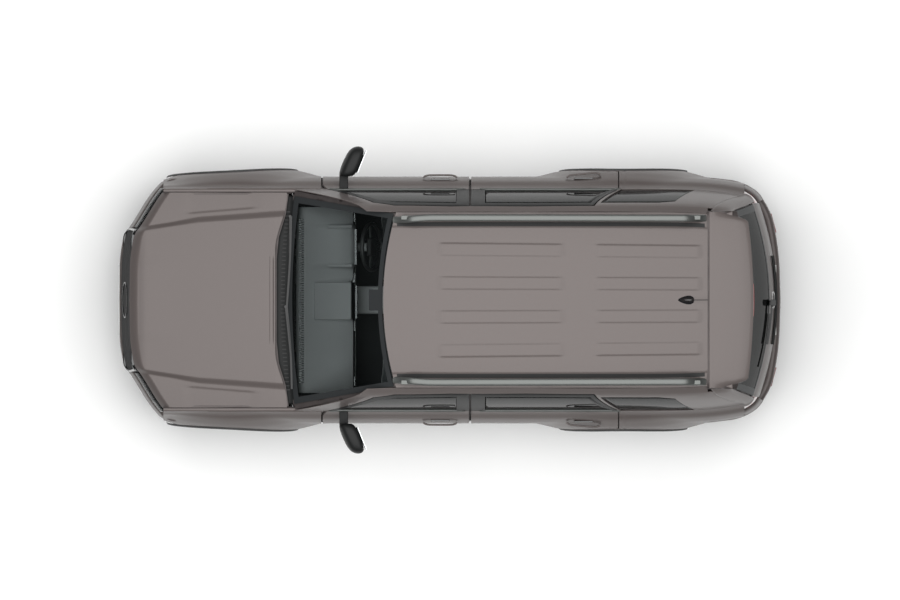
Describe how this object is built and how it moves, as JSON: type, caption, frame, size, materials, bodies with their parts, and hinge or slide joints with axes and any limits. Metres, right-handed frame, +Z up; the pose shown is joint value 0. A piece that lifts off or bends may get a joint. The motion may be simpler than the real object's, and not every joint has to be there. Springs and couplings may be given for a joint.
{
  "type": "seven-seat off-road estate car",
  "caption": "Tall ladder-frame estate car with hinged doors, bonnet and tailgate, steering front wheels and roof rails, standing on its wheels.",
  "frame": {"origin": "on the floor under the middle of the car's bounding box", "axes": "+X forward, +Y to the car's left, +Z up"},
  "size_m": [4.914, 2.282, 1.842],
  "materials": {
    "paint": "taupe metallic clear-coated",
    "underbody_paint": "black chassis paint",
    "floor_steel": "sealed and painted pressing",
    "window_glass": "tinted",
    "black_plastic": "grained",
    "rail_satin": "dark satin",
    "headlamp_lens": "clear moulded",
    "tail_lamp_lens": "red moulded",
    "cabin_plastic": "soft grained",
    "steering_leather": "satin",
    "seat_cloth": "woven",
    "cast_iron": "as cast",
    "exhaust_steel": "dull",
    "tyre_rubber": "matt",
    "alloy": "machined and lacquered"
  },
  "bodies": {
    "car_body": {"left_side_frame": "paint", "right_side_frame": "paint", "roof_panel": "paint", "left_front_wing": "paint", "right_front_wing": "paint", "front_bumper": "paint", "rear_bumper": "paint", "ladder_frame": "underbody_paint", "front_suspension": "underbody_paint", "rear_axle": "underbody_paint", "propeller_shaft": "underbody_paint", "floor_pan": "floor_steel", "bulkhead": "floor_steel", "windscreen": "window_glass", "left_quarter_glass": "window_glass", "right_quarter_glass": "window_glass", "grille": "black_plastic", "fuel_tank": "black_plastic", "left_roof_rail": "rail_satin", "right_roof_rail": "rail_satin", "left_headlamp": "headlamp_lens", "right_headlamp": "headlamp_lens", "left_tail_lamp": "tail_lamp_lens", "right_tail_lamp": "tail_lamp_lens", "dashboard": "cabin_plastic", "left_front_seat": "seat_cloth", "right_front_seat": "seat_cloth", "second_row_seat": "seat_cloth", "third_row_seat": "seat_cloth", "engine_block": "cast_iron", "gearbox": "cast_iron", "exhaust": "exhaust_steel", "spare_wheel": "tyre_rubber"},
    "left_knuckle": {"left_steering_knuckle": "underbody_paint"},
    "left_front_wheel": {"left_front_tyre": "tyre_rubber", "left_front_rim": "alloy"},
    "left_rear_wheel": {"left_rear_tyre": "tyre_rubber", "left_rear_rim": "alloy"},
    "left_front_door_body": {"left_front_door": "paint", "left_front_door_glass": "window_glass", "left_door_mirror": "black_plastic"},
    "left_rear_door_body": {"left_rear_door": "paint", "left_rear_door_glass": "window_glass"},
    "right_knuckle": {"right_steering_knuckle": "underbody_paint"},
    "right_front_wheel": {"right_front_tyre": "tyre_rubber", "right_front_rim": "alloy"},
    "right_rear_wheel": {"right_rear_tyre": "tyre_rubber", "right_rear_rim": "alloy"},
    "right_front_door_body": {"right_front_door": "paint", "right_front_door_glass": "window_glass", "right_door_mirror": "black_plastic"},
    "right_rear_door_body": {"right_rear_door": "paint", "right_rear_door_glass": "window_glass"},
    "bonnet_lid": {"bonnet": "paint"},
    "tailgate_lid": {"tailgate": "paint", "tailgate_glass": "window_glass"},
    "steering_wheel_body": {"steering_wheel": "steering_leather"}
  },
  "joints": [
    {"name": "left_steer", "type": "hinge", "parent": "car_body", "child": "left_knuckle", "pos_m": [1.608, 0.74, 0.3925], "axis": [0, 0, 1], "range_deg": [-30, 30]},
    {"name": "left_front_wheel_spin", "type": "hinge", "parent": "left_knuckle", "child": "left_front_wheel", "pos_m": [1.608, 0.81, 0.3925], "axis": [0, 1, 0], "continuous": true},
    {"name": "left_rear_wheel_spin", "type": "hinge", "parent": "car_body", "child": "left_rear_wheel", "pos_m": [-1.292, 0.81, 0.3925], "axis": [0, 1, 0], "continuous": true},
    {"name": "left_front_door_hinge", "type": "hinge", "parent": "car_body", "child": "left_front_door_body", "pos_m": [0.936, 0.912, 0.8], "axis": [0, 0, -1], "range_deg": [0, 68]},
    {"name": "left_rear_door_hinge", "type": "hinge", "parent": "car_body", "child": "left_rear_door_body", "pos_m": [-0.165, 0.912, 0.8], "axis": [0, 0, -1], "range_deg": [0, 70]},
    {"name": "right_steer", "type": "hinge", "parent": "car_body", "child": "right_knuckle", "pos_m": [1.608, -0.74, 0.3925], "axis": [0, 0, 1], "range_deg": [-30, 30]},
    {"name": "right_front_wheel_spin", "type": "hinge", "parent": "right_knuckle", "child": "right_front_wheel", "pos_m": [1.608, -0.81, 0.3925], "axis": [0, 1, 0], "continuous": true},
    {"name": "right_rear_wheel_spin", "type": "hinge", "parent": "car_body", "child": "right_rear_wheel", "pos_m": [-1.292, -0.81, 0.3925], "axis": [0, 1, 0], "continuous": true},
    {"name": "right_front_door_hinge", "type": "hinge", "parent": "car_body", "child": "right_front_door_body", "pos_m": [0.936, -0.912, 0.8], "axis": [0, 0, 1], "range_deg": [0, 68]},
    {"name": "right_rear_door_hinge", "type": "hinge", "parent": "car_body", "child": "right_rear_door_body", "pos_m": [-0.165, -0.912, 0.8], "axis": [0, 0, 1], "range_deg": [0, 70]},
    {"name": "bonnet_hinge", "type": "hinge", "parent": "car_body", "child": "bonnet_lid", "pos_m": [1.218, 0, 1.14], "axis": [0, -1, 0], "range_deg": [0, 55]},
    {"name": "tailgate_hinge", "type": "hinge", "parent": "car_body", "child": "tailgate_lid", "pos_m": [-1.933, 0, 1.749], "axis": [0, 1, 0], "range_deg": [0, 85]},
    {"name": "steering_wheel_turn", "type": "hinge", "parent": "car_body", "child": "steering_wheel_body", "pos_m": [0.582, -0.393, 1.01], "axis": [-0.9131, 0, 0.4078], "range_deg": [-430, 430]}
  ],
  "couplings": [
    {"joint": "right_steer", "follows": "left_steer", "ratio": 1},
    {"joint": "steering_wheel_turn", "follows": "left_steer", "ratio": 14}
  ]
}
